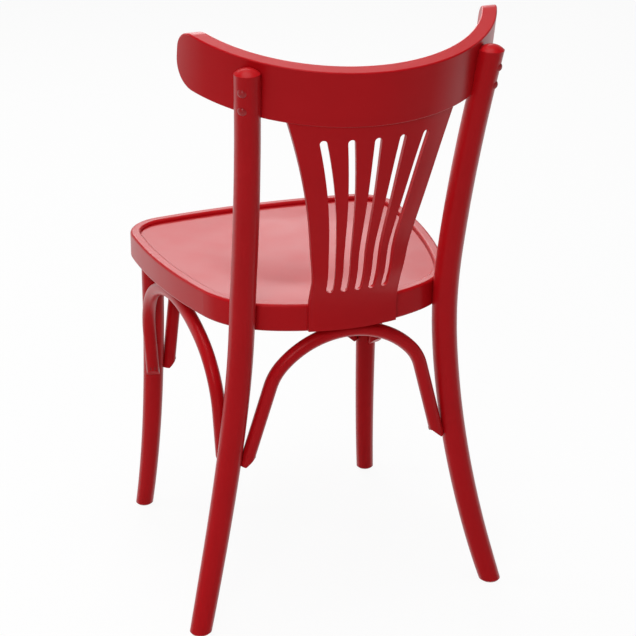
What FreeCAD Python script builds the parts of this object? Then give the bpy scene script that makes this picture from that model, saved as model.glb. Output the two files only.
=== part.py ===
"""Bentwood cafe side chair: a round-cornered seat frame with a dished panel, two one-piece rear
uprights, two front legs, a curved crest rail, a fan-slotted back splat and four bent arches.

Millimetres, +Z up, the chair faces -Y. The origin is on the floor under the middle of the
bounding box, and the seat's own reference centre lies seat_forward ahead of it."""
import FreeCAD, Part
import math
import os
import Sketcher

Vector = FreeCAD.Vector
Placement = FreeCAD.Placement
Rotation = FreeCAD.Rotation
X_AXIS = Vector(1, 0, 0)
Y_AXIS = Vector(0, 1, 0)
Z_AXIS = Vector(0, 0, 1)

SIZES = {
    # Seat, measured from its own reference centre.
    "seat_forward": 60.0,
    "seat_height": 460.0,
    "seat_thickness": 38.0,
    "seat_rear": 218.0,
    "seat_front": 199.5,
    "rear_arc_radius": 250.0,
    "rear_corner_radius": 125.0,
    "rear_corner_offset": 54.0,
    "side_arc_radius": 770.0,
    "front_corner_radius": 62.0,
    "front_corner_offset": 141.5,
    "front_arc_radius": 1050.0,
    "rim_width": 40.0,
    "rim_top_width": 15.0,
    "rim_edge_radius": 4.0,
    "rebate_depth": 10.5,
    "panel_thickness": 5.0,
    "panel_clearance": 0.2,
    "dish_depth": 7.0,
    "dish_radius": 150.0,
    "dish_blend_share": 0.3,
    # Rear uprights.
    "upright_angle": 50.0,
    "upright_notch": 2.0,
    "upright_foot_width": 30.2,
    "upright_seat_width": 34.4,
    "upright_top_width": 33.0,
    "upright_splay_side": 72.0,
    "upright_splay_back": 20.0,
    "upright_knee_sweep": 29.0,
    "back_height": 797.0,
    "back_rake": 85.5,
    "back_spread": 17.3,
    "upright_dome_height": 8.0,
    "upright_dome_lip": 0.3,
    # Front legs.
    "front_leg_angle": -45.0,
    "front_leg_inset": 25.5,
    "front_leg_top_width": 32.5,
    "front_leg_foot_width": 26.0,
    "front_leg_splay_side": 13.8,
    "front_leg_splay_front": 37.0,
    "tenon_width": 18.0,
    "tenon_length": 22.0,
    "tenon_clearance": 0.15,
    "foot_chamfer": 2.5,
    # Crest rail.
    "crest_radius": 222.0,
    "crest_half_length": 291.0,
    "crest_thickness": 20.0,
    "crest_height": 75.0,
    "crest_rise": 51.6,
    "crest_tilt": 12.6,
    "crest_notch": 4.5,
    "crest_top_corner": 28.0,
    "crest_bottom_corner": 34.0,
    "crest_edge_radius": 2.0,
    # Back splat.
    "splat_thickness": 6.0,
    "splat_recess": 5.0,
    "splat_tongue": 18.0,
    "splat_foot_gap": 2.0,
    "splat_bend_below": 12.0,
    "splat_early_lean": 15.0,
    "splat_foot_half_width": 61.5,
    "splat_waist_half_width": 81.0,
    "splat_top_half_width": 115.0,
    "splat_flare_start": 36.0,
    "splat_clearance": 0.15,
    "slot_width": 9.5,
    "slot_pitch_low": 19.0,
    "slot_pitch_middle": 23.3,
    "slot_pitch_high": 34.2,
    "slot_rise": 21.0,
    "slot_top_margin": 19.0,
    # Bent arches under the seat.
    "arch_width": 19.0,
    "arch_end_height": 228.0,
    "front_arch_end_height": 233.0,
    "arch_bite": 1.5,
    "arch_end_radius": 1.5,
    "arch_end_flat": 7.0,
    "arch_end_bevel": 40.0,
    "rear_arch_shoulder": 72.0,
    "rear_arch_drop": 89.0,
    "rear_arch_inset": 102.0,
    "front_arch_shoulder": 72.0,
    "front_arch_drop": 84.6,
    "front_arch_inset": 88.0,
    "side_arch_shoulder": 100.0,
    "side_arch_drop": 112.5,
    "side_arch_inset": 100.0,
    "arch_rim_inset": 18.0,
    "side_arch_rim_inset": 24.0,
    "side_arch_turn": 16.0,
    # Fasteners.
    "crest_screw_head": 12.4,
    "crest_screw_head_height": 4.0,
    "crest_screw_shank": 5.0,
    "crest_screw_spacing": 25.4,
    "crest_screw_drop": 33.3,
    "crest_screw_sink": 1.2,
    "crest_screw_bite": 12.0,
    "wood_screw_head": 8.0,
    "wood_screw_shank": 4.0,
    "wood_screw_length": 30.0,
    "splat_screw_length": 24.0,
    "wood_screw_high": 14.0,
    "splat_screw_spacing": 79.0,
    "crown_screw_length": 34.0,
    "seat_bolt_head": 16.0,
    "seat_bolt_head_height": 5.0,
    "seat_bolt_shank": 7.0,
    "seat_bolt_bite": 24.0,
    "screw_clearance": 0.15,
    "screw_sink": 0.3,
}

doc = FreeCAD.newDocument("bentwood_chair")
sheet = doc.addObject("Spreadsheet::Sheet", "sizes")
for row, (alias, value) in enumerate(SIZES.items(), start=1):
    sheet.set("A%d" % row, alias)
    sheet.set("B%d" % row, str(value))
    sheet.setAlias("B%d" % row, alias)
doc.recompute()


def size(alias):
    """The number that the sheet holds under this alias."""
    return float(sheet.get(alias))


def unit(vector):
    """The same direction with length one."""
    return Vector(vector).normalize()


def chair_point(x, y, z):
    """A point given from the seat's reference centre, in the chair's own frame."""
    return Vector(x, y - size("seat_forward"), z)


def origin_plane(body, role):
    """One of the body's own origin planes, such as XY_Plane."""
    for feature in body.Origin.OriginFeatures:
        if feature.Role == role:
            return feature


def new_body(label):
    """A design body with this label."""
    body = doc.addObject("PartDesign::Body", label)
    body.Label = label
    return body


def new_sketch(body, name, role):
    """An empty sketch on one of the body's origin planes."""
    sketch = body.newObject("Sketcher::SketchObject", name)
    sketch.AttachmentSupport = [(origin_plane(body, role), "")]
    sketch.MapMode = "FlatFace"
    return sketch


def finished(label, shape):
    """A sub-part whose shape comes from Part functions."""
    feature = doc.addObject("Part::Feature", label)
    feature.Label = label
    feature.Shape = shape
    return feature


# Seat outline


class SeatOutline:
    """Eight tangent arcs: front, two front corners, two sides, two rear corners and rear.

    The rear and front arcs have their centres on the Y axis, each corner touches its
    neighbour from inside, and each side arc touches both of its corners."""

    def __init__(self):
        self.rear = size("rear_arc_radius")
        self.rear_corner = size("rear_corner_radius")
        self.side = size("side_arc_radius")
        self.front_corner = size("front_corner_radius")
        self.front = size("front_arc_radius")
        self.rear_centre = Vector(0, size("seat_rear") - self.rear, 0)
        self.front_centre = Vector(0, self.front - size("seat_front"), 0)
        rear_x = size("rear_corner_offset")
        rear_reach = math.sqrt((self.rear - self.rear_corner) ** 2 - rear_x ** 2)
        self.rear_corner_centre = Vector(rear_x, self.rear_centre.y + rear_reach, 0)
        front_x = size("front_corner_offset")
        front_reach = math.sqrt((self.front - self.front_corner) ** 2 - front_x ** 2)
        self.front_corner_centre = Vector(front_x, self.front_centre.y - front_reach, 0)
        self.side_centre = self.centre_touching_both_corners()

    def centre_touching_both_corners(self):
        """Where a circle of the side radius holds both corner circles, touching each."""
        start = self.rear_corner_centre
        end = self.front_corner_centre
        from_start = self.side - self.rear_corner
        from_end = self.side - self.front_corner
        gap = end.sub(start).Length
        along = (from_start ** 2 - from_end ** 2 + gap ** 2) / (2 * gap)
        across = math.sqrt(from_start ** 2 - along ** 2)
        direction = unit(end.sub(start))
        inward = Vector(direction.y, -direction.x, 0)
        return start + direction * along + inward * across

    def arcs(self, inset):
        """Centre, radius and both end angles of each arc, counter-clockwise from the front."""
        right = [
            (self.front_corner_centre, self.front_corner, self.front_centre, self.side_centre),
            (self.side_centre, self.side, self.front_corner_centre, self.rear_corner_centre),
            (self.rear_corner_centre, self.rear_corner, self.side_centre, self.rear_centre),
        ]
        front_turn = self.angle(self.front_centre, self.front_corner_centre)
        rear_turn = self.angle(self.rear_centre, self.rear_corner_centre)
        arcs = [(self.front_centre, self.front - inset, math.pi - front_turn, front_turn)]
        turns = [front_turn, self.angle(self.side_centre, self.front_corner_centre),
                 self.angle(self.side_centre, self.rear_corner_centre), rear_turn]
        for index, (centre, radius, _, _) in enumerate(right):
            arcs.append((centre, radius - inset, turns[index], turns[index + 1]))
        arcs.append((self.rear_centre, self.rear - inset, rear_turn, math.pi - rear_turn))
        for index, (centre, radius, _, _) in reversed(list(enumerate(right))):
            mirrored = Vector(-centre.x, centre.y, 0)
            arcs.append((mirrored, radius - inset, math.pi - turns[index + 1],
                         math.pi - turns[index]))
        return arcs

    def angle(self, start, end):
        """Direction from one centre to another, as an angle from the X axis."""
        return math.atan2(end.y - start.y, end.x - start.x)

    def corner_point(self, centre, degrees, reach):
        """The point at this distance from a corner's centre, in this direction."""
        turn = math.radians(degrees)
        return centre + Vector(math.cos(turn), math.sin(turn), 0) * reach


outline = SeatOutline()


def outline_sketch(body, name, inset_terms):
    """The seat's outline, moved inwards by the sum of the named sizes."""
    inset = sum(size(term) for term in inset_terms)
    sketch = new_sketch(body, name, "XY_Plane")
    for centre, radius, start, end in outline.arcs(inset):
        circle = Part.Circle(centre, Z_AXIS, radius)
        sketch.addGeometry(Part.ArcOfCircle(circle, start, end), False)
    for index in range(8):
        sketch.addConstraint(Sketcher.Constraint("Tangent", index, 2, (index + 1) % 8, 1))
    less = "".join(" - sizes.%s" % term for term in inset_terms)
    radii = {0: "front_arc_radius", 1: "front_corner_radius", 2: "side_arc_radius",
             3: "rear_corner_radius", 4: "rear_arc_radius"}
    for index, alias in radii.items():
        place = sketch.addConstraint(
            Sketcher.Constraint("Radius", index, size(alias) - inset))
        sketch.setExpression("Constraints[%d]" % place, "sizes.%s%s" % (alias, less))
    for right, left in ((1, 7), (2, 6), (3, 5)):
        sketch.addConstraint(Sketcher.Constraint("Equal", right, left))
    sketch.addConstraint(Sketcher.Constraint("PointOnObject", 0, 3, -2))
    sketch.addConstraint(Sketcher.Constraint("PointOnObject", 4, 3, -2))
    distances = [
        ("DistanceY", (-1, 1, 0, 3), outline.front_centre.y,
         "sizes.front_arc_radius - sizes.seat_front"),
        ("DistanceY", (4, 3, -1, 1), -outline.rear_centre.y,
         "sizes.rear_arc_radius - sizes.seat_rear"),
        ("DistanceX", (-1, 1, 1, 3), size("front_corner_offset"),
         "sizes.front_corner_offset"),
        ("DistanceX", (7, 3, -1, 1), size("front_corner_offset"),
         "sizes.front_corner_offset"),
        ("DistanceX", (-1, 1, 3, 3), size("rear_corner_offset"),
         "sizes.rear_corner_offset"),
        ("DistanceX", (5, 3, -1, 1), size("rear_corner_offset"),
         "sizes.rear_corner_offset"),
    ]
    for kind, points, value, expression in distances:
        place = sketch.addConstraint(Sketcher.Constraint(kind, *points, value))
        sketch.setExpression("Constraints[%d]" % place, expression)
    return sketch


def edges_on(shape, border, height):
    """Names of the edges at this height that lie on the border curve."""
    names = []
    for index, edge in enumerate(shape.Edges, start=1):
        box = edge.BoundBox
        level = abs(box.ZMin - height) < 0.01 and abs(box.ZMax - height) < 0.01
        middle = edge.valueAt((edge.FirstParameter + edge.LastParameter) / 2)
        lifted = Vector(middle.x, middle.y, 0)
        if level and border.distToShape(Part.Vertex(lifted))[0] < 0.05:
            names.append("Edge%d" % index)
    return names


def seat_frame_body():
    """The bent rim: a ring with a rebate for the panel and a soft upper edge."""
    body = new_body("seat_frame_blank")
    outer = outline_sketch(body, "rim_outline", ())
    ring = body.newObject("PartDesign::Pad", "rim_block")
    ring.Profile = outer
    ring.setExpression("Length", "sizes.seat_thickness")
    doc.recompute()
    inner = outline_sketch(body, "rim_opening", ("rim_width",))
    opening = body.newObject("PartDesign::Pocket", "rim_bore")
    opening.Profile = inner
    opening.Type = 1
    opening.Reversed = True
    lip = outline_sketch(body, "rebate_outline", ("rim_top_width",))
    lip.setExpression("AttachmentOffset.Base.z", "sizes.seat_thickness - sizes.rebate_depth")
    rebate = body.newObject("PartDesign::Pocket", "panel_rebate")
    rebate.Profile = lip
    rebate.Type = 1
    rebate.Reversed = True
    doc.recompute()
    top = size("seat_thickness")
    flat_lip = lip.Shape.copy()
    flat_lip.translate(Vector(0, 0, -flat_lip.BoundBox.ZMin))
    soft = body.newObject("PartDesign::Fillet", "rim_edges")
    names = edges_on(rebate.Shape, outer.Shape, top) + edges_on(rebate.Shape, outer.Shape, 0)
    names += edges_on(rebate.Shape, flat_lip, top)
    soft.Base = (rebate, names)
    soft.setExpression("Radius", "sizes.rim_edge_radius")
    body.Tip = soft
    body.Placement = Placement(chair_point(0, 0, size("seat_height") - top), Rotation())
    return body


def dish_wire():
    """Half the dished panel's section: a flat edge, a reverse curve and a shallow bowl.

    The bowl and the reverse curve turn through one angle, whose half has the tangent
    depth over radius, so that they meet the flat edge and each other smoothly."""
    depth = size("dish_depth")
    reach = size("dish_radius")
    sheet_width = size("panel_thickness")
    edge = size("seat_front") + size("front_corner_radius")
    turn = 2 * math.atan(depth / reach)
    whole = reach / math.sin(turn)
    blend = whole * size("dish_blend_share")
    bowl = whole - blend

    def bowl_point(radius, angle, centre_z):
        return Vector(radius * math.sin(angle), 0, centre_z - radius * math.cos(angle))

    def blend_point(radius, angle, centre_z):
        return Vector(reach - radius * math.sin(angle), 0, centre_z + radius * math.cos(angle))

    bowl_z = sheet_width - depth + bowl
    blend_z = sheet_width - blend
    low_bowl = bowl + sheet_width
    low_blend = blend - sheet_width
    top_bowl = Part.Arc(bowl_point(bowl, 0, bowl_z), bowl_point(bowl, turn / 2, bowl_z),
                        bowl_point(bowl, turn, bowl_z))
    top_blend = Part.Arc(blend_point(blend, turn, blend_z),
                         blend_point(blend, turn / 2, blend_z),
                         blend_point(blend, 0, blend_z))
    low_blend_arc = Part.Arc(blend_point(low_blend, 0, blend_z),
                             blend_point(low_blend, turn / 2, blend_z),
                             blend_point(low_blend, turn, blend_z))
    low_bowl_arc = Part.Arc(bowl_point(low_bowl, turn, bowl_z),
                            bowl_point(low_bowl, turn / 2, bowl_z),
                            bowl_point(low_bowl, 0, bowl_z))
    corners = [Vector(reach, 0, sheet_width), Vector(edge, 0, sheet_width),
               Vector(edge, 0, 0), Vector(reach, 0, 0)]
    edges = [top_bowl.toShape(), top_blend.toShape()]
    for start, end in zip(corners, corners[1:]):
        edges.append(Part.LineSegment(start, end).toShape())
    edges += [low_blend_arc.toShape(), low_bowl_arc.toShape()]
    edges.append(Part.LineSegment(bowl_point(low_bowl, 0, bowl_z),
                                  bowl_point(bowl, 0, bowl_z)).toShape())
    return Part.Wire(edges)


def seat_panel():
    """The pressed panel: a dished disc trimmed to the seat's outline inside the rebate."""
    body = new_body("seat_panel_blank")
    outer = outline_sketch(body, "panel_outline", ("rim_top_width", "panel_clearance"))
    trim = body.newObject("PartDesign::Pad", "panel_trim")
    trim.Profile = outer
    trim.Length = 4 * size("dish_depth") + 2 * size("panel_thickness")
    trim.Midplane = True
    doc.recompute()
    disc = doc.addObject("Part::Feature", "dished_disc")
    disc.Shape = Part.Face(dish_wire()).revolve(Vector(0, 0, 0), Z_AXIS, 360)
    panel = doc.addObject("Part::Common", "seat_panel")
    panel.Label = "seat_panel"
    panel.Base = disc
    panel.Tool = body
    rest = size("seat_height") - size("rebate_depth")
    panel.Placement = Placement(chair_point(0, 0, rest), Rotation())
    return panel


# Uprights and legs


def upright_axis(height):
    """Where the rear upright's centreline passes this height, on the +X side.

    Below the seat it sweeps in at the knee and splays to the foot. Above it rakes back and
    spreads, starting upright at the seat."""
    joint_height = size("seat_height") - size("seat_thickness") / 2
    reach = size("rear_corner_radius") + size("upright_seat_width") / 2 - size("upright_notch")
    joint = outline.corner_point(outline.rear_corner_centre, size("upright_angle"), reach)
    if height < joint_height:
        drop = 1 - height / joint_height
        side = size("upright_splay_side") * drop ** 1.7
        back = size("upright_splay_back") * drop ** 3
        back -= size("upright_knee_sweep") * drop * (1 - drop)
    else:
        climb = (height - joint_height) / (size("back_height") - joint_height)
        side = size("back_spread") * climb ** 2
        back = size("back_rake") * climb ** 1.15
    return chair_point(joint.x + side, joint.y + back, height)


def upright_radius(height):
    """The upright's radius: widest at the seat, tapering to the foot and a little to the top."""
    joint_height = size("seat_height") - size("seat_thickness") / 2
    widest = size("upright_seat_width")
    if height < joint_height:
        share = 1 - height / joint_height
        return (widest + (size("upright_foot_width") - widest) * share ** 2) / 2
    share = (height - joint_height) / (size("back_height") - joint_height)
    return (widest + (size("upright_top_width") - widest) * share) / 2


def front_leg_axis(height):
    """The front leg's centreline on the +X side, flaring out and forward to the foot."""
    top_height = size("seat_height") - size("seat_thickness")
    reach = size("front_corner_radius") - size("front_leg_inset")
    top = outline.corner_point(outline.front_corner_centre, size("front_leg_angle"), reach)
    drop = 1 - height / top_height
    side = size("front_leg_splay_side") * drop ** 3
    front = size("front_leg_splay_front") * drop ** 2
    return chair_point(top.x + side, top.y - front, height)


def front_leg_radius(height):
    """The front leg's radius, tapering evenly to the foot."""
    share = 1 - height / (size("seat_height") - size("seat_thickness"))
    wide = size("front_leg_top_width")
    return (wide + (size("front_leg_foot_width") - wide) * share) / 2


def axis_direction(axis, height):
    """The centreline's direction at this height."""
    return unit(axis(height + 1).sub(axis(height - 1)))


def round_bar(axis, radius, heights):
    """A loft through circles square to the centreline, level at the foot."""
    sections = []
    for height in heights:
        facing = Z_AXIS if height == 0 else axis_direction(axis, height)
        circle = Part.Circle(axis(height), facing, radius(height))
        sections.append(Part.Wire([circle.toShape()]))
    return Part.makeLoft(sections, True, False)


def mirrored(shape):
    """The same shape on the -X side."""
    return shape.mirror(Vector(0, 0, 0), X_AXIS)


def foot_chamfered(shape):
    """The bar with the edge of its sole taken off."""
    sole = [edge for edge in shape.Edges if abs(edge.BoundBox.ZMax) < 0.01]
    return shape.makeChamfer(size("foot_chamfer"), sole)


def upright_blank():
    """One upright with its domed top, before its seats are cut.

    The dome is a low cap round a vertical line, so it meets the leaning bar in a level ring."""
    joint_height = size("seat_height") - size("seat_thickness") / 2
    top = size("back_height")
    rise = size("upright_dome_height")
    lower = [joint_height * share for share in (0, 0.15, 0.3, 0.45, 0.6, 0.75, 0.9)]
    upper = [joint_height + (top - joint_height) * share
             for share in (0.1, 0.25, 0.4, 0.6, 0.8, 1)]
    heights = lower + upper + [top + 2 * rise]
    bar = foot_chamfered(round_bar(upright_axis, upright_radius, heights))
    ring = upright_radius(top) / axis_direction(upright_axis, top).z + size("upright_dome_lip")
    ball_radius = (ring ** 2 + rise ** 2) / (2 * rise)
    centre = upright_axis(top)
    waste = Part.makeCylinder(2 * ring, 4 * rise, centre, Z_AXIS)
    waste = waste.cut(Part.makeSphere(ball_radius, centre + Z_AXIS * (rise - ball_radius)))
    return bar.cut(waste)


def front_leg_blank():
    """One front leg with the turned tenon that enters the rim."""
    top = size("seat_height") - size("seat_thickness")
    heights = [top * share for share in (0, 0.15, 0.3, 0.5, 0.75, 1)]
    sections = []
    for height in heights:
        circle = Part.Circle(front_leg_axis(height), Z_AXIS, front_leg_radius(height))
        sections.append(Part.Wire([circle.toShape()]))
    bar = foot_chamfered(Part.makeLoft(sections, True, False))
    tenon = Part.makeCylinder(size("tenon_width") / 2, size("tenon_length") + 1,
                              front_leg_axis(top) - Z_AXIS, Z_AXIS)
    return bar.fuse(tenon)


def tenon_bore():
    """The blind hole in the rim for one front leg's tenon."""
    top = size("seat_height") - size("seat_thickness")
    gap = size("tenon_clearance")
    return Part.makeCylinder(size("tenon_width") / 2 + gap, size("tenon_length") + gap + 1,
                             front_leg_axis(top) - Z_AXIS, Z_AXIS)


# Crest rail


def crest_placement():
    """The rail's own frame: level with the uprights' shoulders, leaning back by its tilt.

    Its outer face stands one notch inside the uprights."""
    shoulder = upright_axis(size("back_height"))
    reach = size("crest_radius") + upright_radius(size("back_height")) - size("crest_notch")
    deep = math.sqrt(reach ** 2 - shoulder.x ** 2)
    tilt = math.radians(size("crest_tilt"))
    base = Vector(0, shoulder.y - deep / math.cos(tilt), size("back_height"))
    return Placement(base, Rotation(X_AXIS, -size("crest_tilt")))


def crest_curve_point(distance, depth):
    """A point this far along the rail's outer face from the middle, depth inside it."""
    turn = distance / size("crest_radius")
    reach = size("crest_radius") - depth
    return Vector(reach * math.sin(turn), reach * math.cos(turn), 0)


def crest_band():
    """The plan of the bent strip, as a face between two arcs, longer than the trimmed rail."""
    half_length = size("crest_half_length") + size("crest_thickness")
    faces = (0, size("crest_thickness"))
    edges = []
    for depth in faces:
        points = [crest_curve_point(share * half_length, depth) for share in (-1, 0, 1)]
        edges.append(Part.Arc(*points).toShape())
    for sign in (-1, 1):
        ends = [crest_curve_point(sign * half_length, depth) for depth in faces]
        edges.append(Part.LineSegment(*ends).toShape())
    return Part.Face(Part.Wire(Part.sortEdges(edges)[0]))


def crest_end_trim(top, bottom):
    """The side view that the rail's ends are cut to, with a tight and a wide corner."""
    tip = crest_curve_point(size("crest_half_length"), size("crest_thickness") / 2).y
    back = size("crest_radius") + 1
    upper = size("crest_top_corner")
    lower = size("crest_bottom_corner")
    points = [Vector(0, back, bottom), Vector(0, tip + lower, bottom),
              Vector(0, tip, bottom + lower), Vector(0, tip, top - upper),
              Vector(0, tip + upper, top), Vector(0, back, top)]
    slant = math.sqrt(0.5)
    lower_middle = Vector(0, tip + lower * (1 - slant), bottom + lower * (1 - slant))
    upper_middle = Vector(0, tip + upper * (1 - slant), top - upper * (1 - slant))
    edges = [Part.LineSegment(points[0], points[1]).toShape(),
             Part.Arc(points[1], lower_middle, points[2]).toShape(),
             Part.LineSegment(points[2], points[3]).toShape(),
             Part.Arc(points[3], upper_middle, points[4]).toShape(),
             Part.LineSegment(points[4], points[5]).toShape(),
             Part.LineSegment(points[5], points[0]).toShape()]
    width = 2 * size("crest_half_length")
    face = Part.Face(Part.Wire(edges))
    face.translate(Vector(-width / 2, 0, 0))
    return face.extrude(Vector(width, 0, 0))


def crest_blank():
    """The bent rail with its paddle ends and softened edges, before its cuts."""
    top = size("crest_rise")
    bottom = top - size("crest_height")
    band = crest_band()
    band.translate(Vector(0, 0, bottom))
    rail = band.extrude(Vector(0, 0, size("crest_height")))
    rail = rail.common(crest_end_trim(top, bottom))
    soft = []
    for edge in rail.Edges:
        box = edge.BoundBox
        upright = box.XLength < 0.01 and box.YLength < 0.01
        across = edge.Length < size("crest_thickness") + 2
        if not upright and not across:
            soft.append(edge)
    rail = rail.makeFillet(size("crest_edge_radius"), soft)
    rail.Placement = crest_placement()
    return rail


# Back splat


def crest_underside_point():
    """The middle of the rail's underside on the splat's outer face, in the chair's frame."""
    depth = size("splat_recess")
    local = Vector(0, size("crest_radius") - depth, size("crest_rise") - size("crest_height"))
    return crest_placement().multVec(local)


def splat_bounds():
    """Heights of the splat's foot, its bend at the rim, the groove's mouth and its top."""
    foot = size("seat_height") - size("seat_thickness") + size("splat_foot_gap")
    bend = size("seat_height") - size("splat_bend_below")
    mouth = crest_underside_point().z
    return foot, bend, mouth, mouth + size("splat_tongue")


def splat_face_depth(height):
    """How far back the splat's outer face stands at this height, on the middle plane.

    It lies flat on the rim, leans back in a slight curve, and enters the groove along the
    rail's own tilt."""
    foot, bend, mouth, top = splat_bounds()
    rim_back = size("seat_rear") + size("splat_thickness") - size("seat_forward")
    groove = crest_underside_point().y
    tilt = math.tan(math.radians(size("crest_tilt")))
    if height <= bend:
        return rim_back
    if height >= mouth:
        return groove + (height - mouth) * tilt
    share = (height - bend) / (mouth - bend)
    start = math.tan(math.radians(size("splat_early_lean"))) * (mouth - bend)
    end = tilt * (mouth - bend)
    rise = groove - rim_back
    return (rim_back + start * share + (3 * rise - 2 * start - end) * share ** 2
            + (start + end - 2 * rise) * share ** 3)


def splat_radius(height):
    """The plan radius of the splat's outer face: the rim's at the foot, the rail's at the top."""
    foot, bend, mouth, top = splat_bounds()
    low_radius = size("rear_arc_radius") + size("splat_thickness")
    tilt = math.radians(size("crest_tilt"))
    high_radius = (size("crest_radius") - size("splat_recess")) * math.cos(tilt)
    share = min(max((height - bend) / (mouth - bend), 0), 1)
    return low_radius + (high_radius - low_radius) * share


def splat_section(height, extra):
    """The curved strip that the splat's sheet makes at this height, grown by extra."""
    radius = splat_radius(height)
    centre = Vector(0, splat_face_depth(height) - radius, height)
    turn = math.asin((size("splat_top_half_width") + 10) / radius)

    def arc(reach):
        points = [centre + Vector(reach * math.sin(angle), reach * math.cos(angle), 0)
                  for angle in (-turn, 0, turn)]
        return Part.Arc(*points).toShape(), points[0], points[2]

    outer, outer_left, outer_right = arc(radius + extra)
    inner, inner_left, inner_right = arc(radius - size("splat_thickness") - extra)
    sides = [Part.LineSegment(outer_left, inner_left).toShape(),
             Part.LineSegment(outer_right, inner_right).toShape()]
    return Part.Wire(Part.sortEdges([outer, inner] + sides)[0])


def splat_outline(extra):
    """The front view: parallel at the foot, then flaring in one arc to the top."""
    foot, bend, mouth, top = splat_bounds()
    flare = size("seat_height") + size("splat_flare_start")
    narrow = size("splat_foot_half_width") + extra
    waist = size("splat_waist_half_width") + extra
    wide = size("splat_top_half_width") + extra
    ceiling = top + extra
    middle = (flare + ceiling) / 2
    points = [Vector(narrow, 0, foot), Vector(narrow, 0, flare), Vector(wide, 0, ceiling),
              Vector(-wide, 0, ceiling), Vector(-narrow, 0, flare), Vector(-narrow, 0, foot)]
    edges = [Part.LineSegment(points[0], points[1]).toShape(),
             Part.Arc(points[1], Vector(waist, 0, middle), points[2]).toShape(),
             Part.LineSegment(points[2], points[3]).toShape(),
             Part.Arc(points[3], Vector(-waist, 0, middle), points[4]).toShape(),
             Part.LineSegment(points[4], points[5]).toShape(),
             Part.LineSegment(points[5], points[0]).toShape()]
    reach = size("seat_rear") + size("back_rake") + size("crest_radius")
    return Part.Face(Part.Wire(edges)).extrude(Vector(0, reach, 0))


def splat_blank(extra):
    """The bent sheet inside its outline, grown by extra for the groove that holds it."""
    foot, bend, mouth, top = splat_bounds()
    heights = [foot - 1, (foot + bend) / 2, bend]
    heights += [bend + (mouth - bend) * share for share in (0.12, 0.3, 0.5, 0.75, 1)]
    heights.append(top + 1)
    sheet_solid = Part.makeLoft([splat_section(height, extra) for height in heights], True)
    return sheet_solid.common(splat_outline(extra))


def splat_slot(index):
    """One round-ended slot of the fan, as a cutter; index counts from the middle.

    It bends with the splat's flare, and its walls stand square to the sheet at its middle."""
    foot, bend, mouth, top = splat_bounds()
    low = size("seat_height") + size("slot_rise") + size("slot_width") / 2
    high = mouth - size("slot_top_margin") - size("slot_width") / 2
    middle = (low + high) / 2
    turn = math.asin(index * size("slot_pitch_middle") / splat_radius(middle))
    outward = Vector(math.sin(turn), math.cos(turn), 0)
    half_width = size("slot_width") / 2 / outward.y
    line = []
    for height, name in ((low, "slot_pitch_low"), (middle, "slot_pitch_middle"),
                         (high, "slot_pitch_high")):
        side = index * size(name)
        radius = splat_radius(height)
        depth = splat_face_depth(height) - radius + math.sqrt(radius ** 2 - side ** 2)
        line.append(Vector(side - depth * math.tan(turn), 0, height))
    start, centre, end = line
    headings = [unit(centre.sub(start)), unit(end.sub(start)), unit(end.sub(centre))]
    sides = []
    for sign in (-1, 1):
        points = [point + Vector(heading.z, 0, -heading.x) * (sign * half_width)
                  for point, heading in zip(line, headings)]
        curve = Part.BSplineCurve()
        curve.interpolate(points)
        sides.append((curve.toShape(), points))
    (left_edge, left), (right_edge, right) = sides
    edges = [left_edge, right_edge,
             Part.Arc(left[2], end + headings[2] * half_width, right[2]).toShape(),
             Part.Arc(left[0], start - headings[0] * half_width, right[0]).toShape()]
    reach = size("seat_rear") + size("back_rake") + size("crest_radius")
    return Part.Face(Part.Wire(Part.sortEdges(edges)[0])).extrude(outward * reach)


# Bent arches


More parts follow.
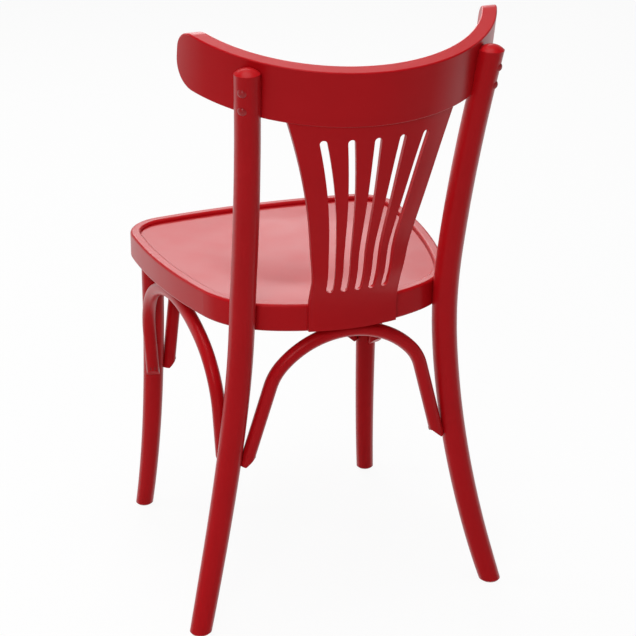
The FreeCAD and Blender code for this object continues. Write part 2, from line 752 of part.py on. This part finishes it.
class Arch:
    """A round bar bent to a crown arc, two shoulder arcs and two straight limbs.

    The limbs run from the ends, tangent to the shoulders, and the crown arc holds both
    shoulders from outside. Contacts hold each foot's centre and the way from it to its leg,
    and crown is the highest point of the centreline."""

    def __init__(self, name, contacts, crown):
        self.name = name
        (start, _), (end, _) = contacts
        self.feet = contacts
        self.middle = (start + end) * 0.5
        self.along = unit(end.sub(start))
        rise = crown.sub(self.middle)
        rise = rise - self.along * rise.dot(self.along)
        self.height = rise.Length
        self.up = unit(rise)
        self.half_span = end.sub(start).Length / 2
        kind = "side" if name in ("left", "right") else name
        self.shoulder = size(kind + "_arch_shoulder")
        self.drop = size(kind + "_arch_drop")
        self.inset = size(kind + "_arch_inset")

    def point(self, side, rise):
        """A point of the arch's own plane, in the chair's frame."""
        return self.middle + self.along * side + self.up * rise

    def limb(self):
        """Where the right limb starts and where it meets the shoulder, in the arch's plane."""
        centre_side = self.half_span - self.inset
        centre_rise = self.height - self.drop
        reach = math.hypot(self.inset, centre_rise)
        turn = math.atan2(centre_rise, -self.inset) - math.asin(self.shoulder / reach)
        length = math.sqrt(reach ** 2 - self.shoulder ** 2)
        meet_side = self.half_span + length * math.cos(turn)
        meet_rise = length * math.sin(turn)
        return centre_side, centre_rise, turn, meet_side, meet_rise

    def wire(self):
        """The centreline, from the left foot over the crown to the right foot."""
        centre_side, centre_rise, turn, meet_side, meet_rise = self.limb()
        crown_radius = ((centre_side ** 2 + self.drop ** 2 - self.shoulder ** 2)
                        / (2 * (self.drop - self.shoulder)))
        crown_rise = self.height - crown_radius
        lean = math.atan2(centre_side, centre_rise - crown_rise)
        join_side = crown_radius * math.sin(lean)
        join_rise = crown_rise + crown_radius * math.cos(lean)
        limb_lean = turn - math.pi / 2
        middle_turn = (lean + math.pi / 2 - limb_lean) / 2
        knee_side = centre_side + self.shoulder * math.sin(middle_turn)
        knee_rise = centre_rise + self.shoulder * math.cos(middle_turn)

        def half(sign):
            foot = self.point(sign * self.half_span, 0)
            meet = self.point(sign * meet_side, meet_rise)
            knee = self.point(sign * knee_side, knee_rise)
            join = self.point(sign * join_side, join_rise)
            return foot, meet, knee, join

        left_foot, left_meet, left_knee, left_join = half(-1)
        foot, meet, knee, join = half(1)
        edges = [Part.LineSegment(left_foot, left_meet).toShape(),
                 Part.Arc(left_meet, left_knee, left_join).toShape(),
                 Part.Arc(left_join, self.point(0, self.height), join).toShape(),
                 Part.Arc(join, knee, meet).toShape(),
                 Part.LineSegment(meet, foot).toShape()]
        return Part.Wire(edges)

    def limb_point(self, sign, rise):
        """A point on one limb's centreline, this far up from its foot."""
        turn = self.limb()[2]
        side = self.half_span + rise * math.cos(turn) / math.sin(turn)
        return self.point(sign * side, rise)

    def bar(self):
        """The swept round bar, its ends softened and bevelled away from the legs."""
        path = doc.addObject("Part::Feature", self.name + "_arch_line")
        path.Shape = self.wire()
        ring = doc.addObject("Part::Circle", self.name + "_arch_ring")
        ring.setExpression("Radius", "sizes.arch_width / 2")
        start = path.Shape.Edges[0]
        facing = unit(start.tangentAt(start.FirstParameter))
        ring.Placement = Placement(start.valueAt(start.FirstParameter),
                                   Rotation(Z_AXIS, facing))
        sweep = doc.addObject("Part::Sweep", self.name + "_arch_sweep")
        sweep.Sections = [ring]
        sweep.Spine = (path, ["Edge%d" % index for index in range(1, 6)])
        sweep.Solid = True
        doc.recompute()
        ends = [edge for edge in sweep.Shape.Edges
                if abs(edge.Length - math.pi * size("arch_width")) < 0.5
                and edge.CenterOfMass.z < self.middle.z + 3]
        bar = sweep.Shape.makeFillet(size("arch_end_radius"), ends)
        width = size("arch_width")
        bevel = math.radians(size("arch_end_bevel"))
        for foot, toward in self.feet:
            corner = foot + toward * (width / 2 - size("arch_end_flat"))
            facing = toward * -math.sin(bevel) - Z_AXIS * math.cos(bevel)
            bar = bar.cut(Part.makeCylinder(width, width, corner, facing))
        return bar


def leg_contact(axis, radius, degrees, sign, height):
    """The centre of an arch's foot against a leg, and the way from there to the leg."""
    reach = radius(height) + size("arch_width") / 2 - size("arch_bite")
    turn = math.radians(degrees)
    centre = axis(height)
    away = Vector(sign * math.cos(turn), math.sin(turn), 0)
    return Vector(sign * centre.x, centre.y, height) + away * reach, away * -1


def make_arches():
    """The four arches, from the legs that hold them and the rim that their crowns touch."""
    crown_height = size("seat_height") - size("seat_thickness") - size("arch_width") / 2
    inset = size("arch_rim_inset")
    side_x = outline.side_centre.x + outline.side - size("side_arch_rim_inset")
    rear_height = size("arch_end_height")
    front_height = size("front_arch_end_height")
    rear_feet = [leg_contact(upright_axis, upright_radius, 180, sign, rear_height)
                 for sign in (-1, 1)]
    front_feet = [leg_contact(front_leg_axis, front_leg_radius, 180, sign, front_height)
                  for sign in (-1, 1)]
    arches = [
        Arch("rear", rear_feet, chair_point(0, size("seat_rear") - inset, crown_height)),
        Arch("front", front_feet, chair_point(0, inset - size("seat_front"), crown_height)),
    ]
    for name, sign in (("left", 1), ("right", -1)):
        front = leg_contact(front_leg_axis, front_leg_radius, 90 - size("side_arch_turn"),
                            sign, front_height)
        rear = leg_contact(upright_axis, upright_radius, 270, sign, front_height)
        crown = Vector(sign * side_x, (front[0].y + rear[0].y) / 2, crown_height)
        arches.append(Arch(name, (front, rear), crown))
    return arches


# Fasteners


def bar_along(start, direction, radius, length):
    """A plain cylinder from a point in a direction."""
    return Part.makeCylinder(radius, length, start, direction)


def sunk_screw(start, direction, length, clearance):
    """A countersunk wood screw; start is the middle of its head's face."""
    head = size("wood_screw_head") / 2 + clearance
    shank = size("wood_screw_shank") / 2 + clearance
    cone = Part.makeCone(head, shank, head - shank, start, direction)
    return cone.fuse(bar_along(start, direction, shank, length + clearance))


def dome_screw(start, direction, length, clearance):
    """A round-head screw; start is the middle of the head's flat underside."""
    radius = size("crest_screw_head") / 2 + clearance
    rise = size("crest_screw_head_height")
    shank = size("crest_screw_shank") / 2 + clearance
    tip = length + clearance
    ball_radius = (radius ** 2 + rise ** 2) / (2 * rise)
    middle_turn = math.asin(radius / ball_radius) / 2
    shoulder = Vector(ball_radius * math.sin(middle_turn), 0,
                      ball_radius * (1 - math.cos(middle_turn)) - rise)
    edges = [Part.Arc(Vector(0, 0, -rise), shoulder, Vector(radius, 0, 0)).toShape()]
    points = [Vector(radius, 0, 0), Vector(shank, 0, 0), Vector(shank, 0, tip),
              Vector(0, 0, tip), Vector(0, 0, -rise)]
    for first, second in zip(points, points[1:]):
        edges.append(Part.LineSegment(first, second).toShape())
    solid = Part.Face(Part.Wire(edges)).revolve(Vector(0, 0, 0), Z_AXIS, 360)
    solid.Placement = Placement(start, Rotation(Z_AXIS, direction))
    return solid


def crest_screws(clearance):
    """Two screws through each upright into the rail, pointing at the rail's centre line."""
    frame = crest_placement()
    inverse = frame.inverse()
    screws = []
    for number in (0, 1):
        level = size("crest_rise") - size("crest_screw_drop")
        level -= number * size("crest_screw_spacing")
        height = size("back_height")
        for _ in range(8):
            height -= inverse.multVec(upright_axis(height)).z - level
        axis = inverse.multVec(upright_axis(height))
        radial = unit(Vector(axis.x, axis.y, 0))
        local_start = axis + radial * (upright_radius(height) - size("crest_screw_sink"))
        start = frame.multVec(local_start)
        direction = frame.Rotation.multVec(radial * -1)
        depth = 2 * upright_radius(height) + size("crest_screw_bite")
        screw = dome_screw(start, direction, depth, clearance)
        screws += [screw, mirrored(screw)]
    return screws


def splat_screws(clearance):
    """The two sunk screws that hold the splat's foot to the rim."""
    height = size("seat_height") - size("seat_thickness") / 2
    half = size("splat_screw_spacing") / 2
    radius = size("rear_arc_radius") + size("splat_thickness")
    turn = math.asin(half / radius)
    face = chair_point(half, size("seat_rear") - size("rear_arc_radius")
                       + radius * math.cos(turn), height)
    inward = Vector(-math.sin(turn), -math.cos(turn), 0)
    start = face + inward * size("screw_sink")
    screw = sunk_screw(start, inward, size("splat_screw_length"), clearance)
    return [screw, mirrored(screw)]


def seat_bolts(clearance):
    """One bolt from inside the rim into each upright."""
    turn = math.radians(size("upright_angle"))
    outward = Vector(math.cos(turn), math.sin(turn), 0)
    inner = size("rear_corner_radius") - size("rim_width")
    start = outline.corner_point(outline.rear_corner_centre, size("upright_angle"), inner)
    height = size("seat_height") - size("rebate_depth") - size("seat_bolt_head")
    base = chair_point(start.x, start.y, height)
    length = size("rim_width") + size("seat_bolt_bite")
    shank = bar_along(base, outward, size("seat_bolt_shank") / 2 + clearance,
                      length + clearance)
    if clearance:
        return [shank, mirrored(shank)]
    head = bar_along(base, outward * -1, size("seat_bolt_head") / 2,
                     size("seat_bolt_head_height"))
    soft = [edge for edge in head.Edges
            if abs(edge.CenterOfMass.distanceToPoint(base)
                   - size("seat_bolt_head_height")) < 0.01]
    head = head.makeFillet(1.5, soft)
    bolt = head.fuse(shank)
    return [bolt, mirrored(bolt)]


def arch_foot_screws(arch, clearance):
    """One sunk screw through each of an arch's feet into its leg."""
    screws = []
    for sign, (foot, toward) in zip((-1, 1), arch.feet):
        point = arch.limb_point(sign, size("wood_screw_high"))
        start = point - toward * (size("arch_width") / 2 - size("screw_sink"))
        screws.append(sunk_screw(start, toward, size("wood_screw_length"), clearance))
    return screws


def crown_screw(arch, clearance):
    """The screw through an arch's crown, up into the rim."""
    crown = arch.point(0, arch.height)
    start = crown - Z_AXIS * (size("arch_width") / 2 - size("screw_sink"))
    return sunk_screw(start, Z_AXIS, size("crown_screw_length"), clearance)


# Assembly


def seat_prism():
    """The seat's full outline as a block of the rim's height."""
    edges = [Part.ArcOfCircle(Part.Circle(centre, Z_AXIS, radius), start, end).toShape()
             for centre, radius, start, end in outline.arcs(0)]
    block = Part.Face(Part.Wire(edges)).extrude(Vector(0, 0, size("seat_thickness")))
    block.translate(chair_point(0, 0, size("seat_height") - size("seat_thickness")))
    return block


def build_chair():
    """Make every sub-part and return the finished objects by name."""
    gap = size("screw_clearance")
    arches = make_arches()
    foot_holes = [hole for arch in arches for hole in arch_foot_screws(arch, gap)]
    crown_holes = [crown_screw(arch, gap) for arch in arches]
    crest_holes = crest_screws(gap)
    splat_holes = splat_screws(gap)
    bolt_holes = seat_bolts(gap)
    bores = [tenon_bore(), mirrored(tenon_bore())]

    frame_body = seat_frame_body()
    panel = seat_panel()
    doc.recompute()
    parts = {"seat_panel": panel}
    drilled = frame_body.Shape.cut(bores + crown_holes + splat_holes + bolt_holes)
    parts["seat_frame"] = finished("seat_frame", drilled)

    crest = crest_blank()
    upright = upright_blank().cut(crest).cut(seat_prism())
    upright_holes = crest_holes + bolt_holes + foot_holes
    parts["rear_leg_left"] = finished("rear_leg_left", upright.cut(upright_holes))
    parts["rear_leg_right"] = finished("rear_leg_right", mirrored(upright).cut(upright_holes))

    leg = front_leg_blank()
    parts["front_leg_left"] = finished("front_leg_left", leg.cut(foot_holes))
    parts["front_leg_right"] = finished("front_leg_right", mirrored(leg).cut(foot_holes))

    groove = splat_blank(size("splat_clearance"))
    parts["crest_rail"] = finished("crest_rail", crest.cut([groove] + crest_holes))
    slots = [splat_slot(index) for index in range(-2, 3)]
    parts["back_splat"] = finished("back_splat", splat_blank(0).cut(slots + splat_holes))

    legs = [upright, mirrored(upright), leg, mirrored(leg)]
    for arch in arches:
        bar = arch.bar().cut(legs + foot_holes + crown_holes)
        parts[arch.name + "_arch"] = finished(arch.name + "_arch", bar)

    groups = {
        "crest_screws": crest_screws(0),
        "splat_screws": splat_screws(0),
        "seat_bolts": seat_bolts(0),
        "arch_foot_screws": [screw for arch in arches for screw in arch_foot_screws(arch, 0)],
        "arch_crown_screws": [crown_screw(arch, 0) for arch in arches],
    }
    for label, solids in groups.items():
        parts[label] = finished(label, Part.makeCompound(solids))
    return parts


def check_and_write(parts):
    """Stop on a failed object or shape, then write each sub-part's STEP file."""
    doc.recompute()
    for item in doc.Objects:
        if "Invalid" in item.State or "Error" in item.State:
            raise RuntimeError("failed object: %s %s" % (item.Name, item.State))
    os.makedirs("parts", exist_ok=True)
    for label, item in sorted(parts.items()):
        shape = item.Shape
        if shape.isNull() or not shape.isValid():
            raise RuntimeError("bad shape: %s" % label)
        print("%-18s solids %d volume %.0f" % (label, len(shape.Solids), shape.Volume))
        shape.exportStep("parts/%s.step" % label)


check_and_write(build_chair())
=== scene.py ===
"""Looks for a red lacquered bentwood chair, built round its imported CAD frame."""
import math

import bpy
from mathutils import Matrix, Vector

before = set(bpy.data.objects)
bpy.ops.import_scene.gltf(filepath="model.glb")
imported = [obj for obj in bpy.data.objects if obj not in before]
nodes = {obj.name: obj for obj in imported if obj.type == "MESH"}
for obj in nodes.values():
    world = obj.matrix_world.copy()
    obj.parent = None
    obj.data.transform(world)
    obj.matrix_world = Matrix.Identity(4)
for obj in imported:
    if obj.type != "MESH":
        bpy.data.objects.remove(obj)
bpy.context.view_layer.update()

MM = 0.001
COAT_IOR = 1.5
DEEP_RED = "#A80C13"
BRIGHT_RED = "#B41018"
DRIP_RED = "#8E0F14"
# This dark red is painted shade: it stands for the shade that falls inside the sunk screw
# recesses, not for a paint the screws have.
SUNK_SHADE_RED = "#5A070B"
ZINC_GREY = "#B9BCC0"
FLOOR_GREY = "#E6E6E6"

# The tone clouds are far wider than the grain, which runs this many times its width.
CLOUD_MM = 70
GRAIN_STRETCH = 14.0

# The photograph is square. Its focal length and optical centre are in its own pixels.
IMAGE_SIZE = 636
FOCAL_PIXELS = 2144.6
OPTICAL_CENTRE = (315.1, 318.1)
SENSOR_MM = 36.0
CAMERA_PLACE = (0.9506, 2.5901, 1.5037)
CAMERA_YAW = math.radians(20.25)
CAMERA_PITCH = math.radians(22.25)

FLOOR_REACH = 14.0
FLOOR_GLOW = 0.93
SURROUND_LIGHT = 0.22
SEAT_MIDDLE = (0.0, -0.05, 0.45)

# Each softbox: name, place, target, width, height, power.
SOFTBOXES = [
    ("overhead_softbox", (0.2, 0.1, 2.8), SEAT_MIDDLE, 1.5, 1.5, 42),
    ("key_softbox", (1.7, 2.6, 2.2), (0, 0, 0.5), 1.0, 1.0, 34),
    ("far_softbox", (-0.4, -2.8, 2.1), (0, 0, 0.55), 2.2, 1.1, 36),
    ("left_strip", (2.3, -1.3, 1.3), (0, 0, 0.6), 0.5, 1.8, 15),
]


# Colour and node helpers


def linear(hex_colour):
    """Turn an sRGB hex colour into the linear RGBA that shader sockets take."""
    channels = [int(hex_colour[i:i + 2], 16) / 255 for i in (1, 3, 5)]
    return tuple(c / 12.92 if c <= 0.04045 else ((c + 0.055) / 1.055) ** 2.4
                 for c in channels) + (1.0,)


def add(tree, kind, links=None, **settings):
    """Add one shader node, set its properties and inputs, and link sockets into it."""
    node = tree.nodes.new(kind)
    for name, value in settings.items():
        if name in node.inputs:
            node.inputs[name].default_value = value
        else:
            setattr(node, name, value)
    for name, socket in (links or {}).items():
        tree.links.new(socket, node.inputs[name])
    return node


def ramp(tree, value, low, high, start=0.0, end=1.0):
    """Map a value from start..end to low..high, held at both ends."""
    node = add(tree, "ShaderNodeMapRange", {"Value": value})
    node.inputs["From Min"].default_value = start
    node.inputs["From Max"].default_value = end
    node.inputs["To Min"].default_value = low
    node.inputs["To Max"].default_value = high
    return node.outputs["Result"]


def tone_between(tree, factor, first, second):
    """Blend two sRGB colours by a factor."""
    node = add(tree, "ShaderNodeMix", {"Factor": factor}, data_type="RGBA")
    node.inputs["A"].default_value = linear(first)
    node.inputs["B"].default_value = linear(second)
    return node.outputs["Result"]


def larger(tree, first, second):
    """The larger of two values."""
    return add(tree, "ShaderNodeMath", {0: first, 1: second}, operation="MAXIMUM").outputs[0]


def new_material(name):
    """An empty node material, its node tree and its output node."""
    material = bpy.data.materials.new(name)
    material.use_nodes = True
    tree = material.node_tree
    tree.nodes.clear()
    return material, tree, add(tree, "ShaderNodeOutputMaterial")


# Finishes


def lacquer(name, along, peel_mm=2.2, grain_mm=1.1, grain_bump=0.05):
    """Satin lacquer sprayed on wood, whose grain runs along X, Y or Z.

    The eye sees a deep even red whose shine is soft and slightly uneven, a faint orange
    peel, and long fine grain telegraphing through the paint along the piece. Matt seen
    square on, the coat shines where the view grazes it."""
    material, tree, output = new_material(name)
    place = add(tree, "ShaderNodeTexCoord").outputs["Object"]
    stretch = [GRAIN_STRETCH] * 3
    stretch["XYZ".index(along)] = 1.0
    grain_scale = 1 / (grain_mm * MM) / GRAIN_STRETCH
    grain_place = add(tree, "ShaderNodeMapping", {"Vector": place},
                      Scale=[grain_scale * s for s in stretch])
    grain = add(tree, "ShaderNodeTexNoise", {"Vector": grain_place.outputs["Vector"]},
                Scale=1.0, Detail=3.0, Roughness=0.55)
    cloud = add(tree, "ShaderNodeTexNoise", {"Vector": place}, Scale=1 / (CLOUD_MM * MM),
                Detail=2.0, Roughness=0.5).outputs["Fac"]
    peel = add(tree, "ShaderNodeTexNoise", {"Vector": place}, Scale=1 / (peel_mm * MM),
               Detail=1.0, Roughness=0.4)
    tone = tone_between(tree, cloud, DEEP_RED, BRIGHT_RED)
    shine = ramp(tree, cloud, 0.30, 0.38, start=0.3, end=0.7)
    peel_bump = add(tree, "ShaderNodeBump", {"Height": peel.outputs["Fac"]},
                    Strength=0.05, Distance=0.1 * MM)
    grain_relief = add(tree, "ShaderNodeBump",
                       {"Height": grain.outputs["Fac"], "Normal": peel_bump.outputs["Normal"]},
                       Strength=grain_bump, Distance=0.12 * MM)
    facing = add(tree, "ShaderNodeLayerWeight").outputs["Facing"]
    gloss = ramp(tree, facing, 0.09, 0.6, start=0.35, end=0.8)
    shader = add(tree, "ShaderNodeBsdfPrincipled",
                 {"Base Color": tone, "Roughness": shine, "Specular IOR Level": gloss,
                  "Normal": grain_relief.outputs["Normal"]})
    shader.inputs["IOR"].default_value = COAT_IOR
    tree.links.new(shader.outputs["BSDF"], output.inputs["Surface"])
    return material


def painted_steel(name, colour):
    """Steel screw heads painted with the chair: the eye sees small soft-shining domes. When
    given the dark sunk-screw red, the colour is painted shade standing for the shade in their
    recesses.
    """
    material, tree, output = new_material(name)
    place = add(tree, "ShaderNodeTexCoord").outputs["Object"]
    runs = add(tree, "ShaderNodeTexNoise", {"Vector": place}, Scale=1 / (3 * MM),
               Detail=2.0, Roughness=0.5).outputs["Fac"]
    bump = add(tree, "ShaderNodeBump", {"Height": runs}, Strength=0.04, Distance=0.1 * MM)
    shader = add(tree, "ShaderNodeBsdfPrincipled",
                 {"Base Color": tone_between(tree, runs, colour, DRIP_RED),
                  "Normal": bump.outputs["Normal"]})
    shader.inputs["Roughness"].default_value = 0.28
    shader.inputs["IOR"].default_value = COAT_IOR
    shader.inputs["Specular IOR Level"].default_value = 0.3
    tree.links.new(shader.outputs["BSDF"], output.inputs["Surface"])
    return material


def zinc_steel(name):
    """Bright zinc on a bolt: the eye sees a cool grey metal with a fine uneven blur."""
    material, tree, output = new_material(name)
    place = add(tree, "ShaderNodeTexCoord").outputs["Object"]
    brush = add(tree, "ShaderNodeTexNoise", {"Vector": place}, Scale=1 / (0.6 * MM),
                Detail=2.0, Roughness=0.6)
    blur = ramp(tree, brush.outputs["Fac"], 0.25, 0.42)
    shader = add(tree, "ShaderNodeBsdfPrincipled", {"Roughness": blur})
    shader.inputs["Base Color"].default_value = linear(ZINC_GREY)
    shader.inputs["Metallic"].default_value = 1.0
    tree.links.new(shader.outputs["BSDF"], output.inputs["Surface"])
    return material


def finish_nodes():
    """Give every CAD node the finish of the real piece."""
    upright = lacquer("red_lacquer_on_turned_beech", "Z")
    cross = lacquer("red_lacquer_on_bent_beech", "X")
    side = lacquer("red_lacquer_on_bent_side_beech", "Y")
    panel = lacquer("red_lacquer_on_pressed_plywood", "Y", grain_mm=0.9, grain_bump=0.08)
    splat = lacquer("red_lacquer_on_bent_plywood", "Z", grain_mm=0.9)
    proud_paint = painted_steel("red_paint_on_steel_screws", DEEP_RED)
    # The sunk splat, arch foot and arch crown screws get a dark red that is painted shade for
    # their recesses.
    sunk_painted_shade = painted_steel("painted_shade_on_sunk_screws", SUNK_SHADE_RED)
    zinc = zinc_steel("bright_zinc_on_bolts")
    finishes = {
        "rear_leg_left": upright, "rear_leg_right": upright,
        "front_leg_left": upright, "front_leg_right": upright,
        "crest_rail": cross, "seat_frame": cross,
        "rear_arch": cross, "front_arch": cross,
        "left_arch": side, "right_arch": side,
        "seat_panel": panel, "back_splat": splat,
        "crest_screws": proud_paint, "splat_screws": sunk_painted_shade,
        "arch_foot_screws": sunk_painted_shade, "arch_crown_screws": sunk_painted_shade,
        "seat_bolts": zinc,
    }
    for node_name, finish in finishes.items():
        materials = nodes[node_name].data.materials
        materials.clear()
        materials.append(finish)


# Studio


def make_floor():
    """A plain pale floor that shows nearly white and keeps a soft shadow of the chair.

    Camera, glossy and transmission rays see it mostly as plain white, and it lights the
    chair only as a matt pale surface."""
    material, tree, output = new_material("pale_studio_floor")
    rays = add(tree, "ShaderNodeLightPath").outputs
    shown = larger(tree, larger(tree, rays["Is Camera Ray"], rays["Is Glossy Ray"]),
                   rays["Is Transmission Ray"])
    weight = add(tree, "ShaderNodeMath", {0: shown}, operation="MULTIPLY")
    weight.inputs[1].default_value = FLOOR_GLOW
    matt = add(tree, "ShaderNodeBsdfDiffuse")
    matt.inputs["Color"].default_value = linear(FLOOR_GREY)
    glow = add(tree, "ShaderNodeEmission")
    glow.inputs["Strength"].default_value = 1.0
    mix = add(tree, "ShaderNodeMixShader", {0: weight.outputs[0], 1: matt.outputs[0],
                                            2: glow.outputs[0]})
    tree.links.new(mix.outputs[0], output.inputs["Surface"])
    mesh = bpy.data.meshes.new("studio_floor")
    corners = [(x * FLOOR_REACH, y * FLOOR_REACH, 0)
               for x, y in ((-1, -1), (1, -1), (1, 1), (-1, 1))]
    mesh.from_pydata(corners, [], [(0, 1, 2, 3)])
    mesh.materials.append(material)
    floor = bpy.data.objects.new("studio_floor", mesh)
    bpy.context.scene.collection.objects.link(floor)


def make_world():
    """A surround that is white where it is seen, and lights the chair dimly and evenly.

    Reflections show it white near the horizon, and as dim as its light higher up, where
    the softboxes are what shines in the lacquer."""
    world = bpy.data.worlds.new("studio_surround")
    bpy.context.scene.world = world
    world.use_nodes = True
    tree = world.node_tree
    tree.nodes.clear()
    rays = add(tree, "ShaderNodeLightPath").outputs
    direction = add(tree, "ShaderNodeTexCoord").outputs["Generated"]
    height = add(tree, "ShaderNodeSeparateXYZ", {"Vector": direction}).outputs["Z"]
    horizon = ramp(tree, height, 1.0, SURROUND_LIGHT, start=0.02, end=0.20)
    mirrored = add(tree, "ShaderNodeMath", {0: rays["Is Glossy Ray"], 1: horizon},
                   operation="MULTIPLY").outputs[0]
    seen = larger(tree, rays["Is Camera Ray"], rays["Is Transmission Ray"])
    lit = add(tree, "ShaderNodeMath", {0: larger(tree, seen, mirrored)}, operation="MAXIMUM")
    lit.inputs[1].default_value = SURROUND_LIGHT
    back = add(tree, "ShaderNodeBackground", {"Strength": lit.outputs[0]})
    back.inputs["Color"].default_value = (1, 1, 1, 1)
    output = add(tree, "ShaderNodeOutputWorld")
    tree.links.new(back.outputs[0], output.inputs["Surface"])


def soft_lamp(name, place, target, width, height, power):
    """A rectangular softbox that faces its target."""
    data = bpy.data.lights.new(name, "AREA")
    data.shape = "RECTANGLE"
    data.size = width
    data.size_y = height
    data.energy = power
    lamp = bpy.data.objects.new(name, data)
    bpy.context.scene.collection.objects.link(lamp)
    lamp.location = place
    aim = Vector(target) - Vector(place)
    lamp.rotation_euler = aim.to_track_quat("-Z", "Y").to_euler()


def make_camera():
    """The photograph's view: from behind and to the chair's left, looking down."""
    ahead = Vector((-math.sin(CAMERA_YAW) * math.cos(CAMERA_PITCH),
                    -math.cos(CAMERA_YAW) * math.cos(CAMERA_PITCH), -math.sin(CAMERA_PITCH)))
    data = bpy.data.cameras.new("photo_view")
    data.sensor_width = SENSOR_MM
    data.lens = SENSOR_MM * FOCAL_PIXELS / IMAGE_SIZE
    data.shift_x = (IMAGE_SIZE / 2 - OPTICAL_CENTRE[0]) / IMAGE_SIZE
    data.shift_y = (OPTICAL_CENTRE[1] - IMAGE_SIZE / 2) / IMAGE_SIZE
    camera = bpy.data.objects.new("photo_view", data)
    bpy.context.scene.collection.objects.link(camera)
    camera.location = CAMERA_PLACE
    camera.rotation_euler = ahead.to_track_quat("-Z", "Y").to_euler()
    bpy.context.scene.camera = camera


finish_nodes()
make_floor()
make_world()
for softbox in SOFTBOXES:
    soft_lamp(*softbox)
make_camera()
bpy.context.scene.view_settings.view_transform = "Standard"
